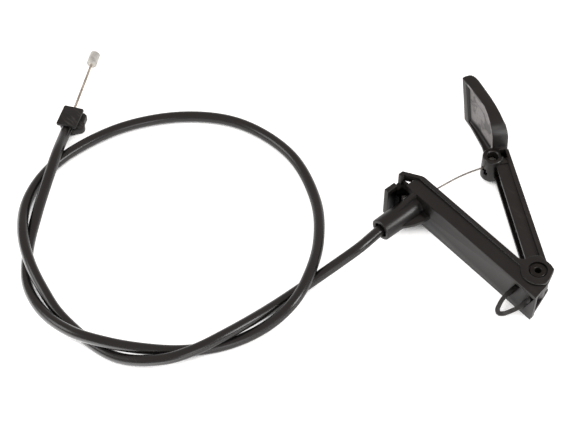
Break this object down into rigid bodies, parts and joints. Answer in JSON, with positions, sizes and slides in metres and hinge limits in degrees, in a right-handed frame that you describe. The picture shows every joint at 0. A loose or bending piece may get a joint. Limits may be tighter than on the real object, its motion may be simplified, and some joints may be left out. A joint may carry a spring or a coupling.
{
  "type": "hood release cable",
  "caption": "Hood release cable: a pull lever on a channel bracket, a sheathed wire lying in a loop, and a clip fitting with a cast nipple at its far end.",
  "frame": {"origin": "on the bracket's flat side that rests, 6 mm in from the outer face of the channel's floor and 57 mm from the channel's end beside the lugs", "axes": "+X along the bracket towards the lever's pivot, +Y out of the channel's open side, +Z along the pivot, up from the side that rests"},
  "size_m": [0.3557, 0.3222, 0.0442],
  "materials": {
    "black_plastic": "satin black",
    "black_fitting": "satin black",
    "black_sheath": "satin black with a soft streak of light",
    "black_loop": "satin black",
    "dark_rivet": "dark plated steel",
    "cable_steel": "twisted strands, slightly tarnished",
    "cast_zinc": "pale cast zinc"
  },
  "bodies": {
    "base": {"base_bracket": "black_plastic", "pivot_rivet": "dark_rivet", "retaining_loop": "black_loop", "guide_ferrule": "dark_rivet", "sheath": "black_sheath", "end_block": "black_fitting", "lever_wire": "cable_steel"},
    "lever": {"lever": "black_plastic"},
    "lever_nipple": {"lever_nipple": "cast_zinc"},
    "wire_end": {"end_wire": "cable_steel", "end_nipple": "cast_zinc"}
  },
  "joints": [
    {"name": "lever_hinge", "type": "hinge", "parent": "base", "child": "lever", "pos_m": [0.045, 0.0092, 0.0125], "axis": [0, 0, 1], "range_deg": [-18, 31], "deforming": ["lever_wire"]},
    {"name": "lever_nipple_swivel", "type": "hinge", "parent": "lever", "child": "lever_nipple", "pos_m": [-0.03961, 0.05537, 0.0125], "axis": [0, 0, 1], "range_deg": [-12, 12]},
    {"name": "end_nipple_slide", "type": "slide", "parent": "base", "child": "wire_end", "axis": [-0.6088, 0.7934, 0], "range_m": [-0.03, 0.051], "deforming": ["end_wire"]}
  ],
  "couplings": [
    {"joint": "end_nipple_slide", "follows": "lever_hinge", "m_per_rad": 0.0917}
  ]
}
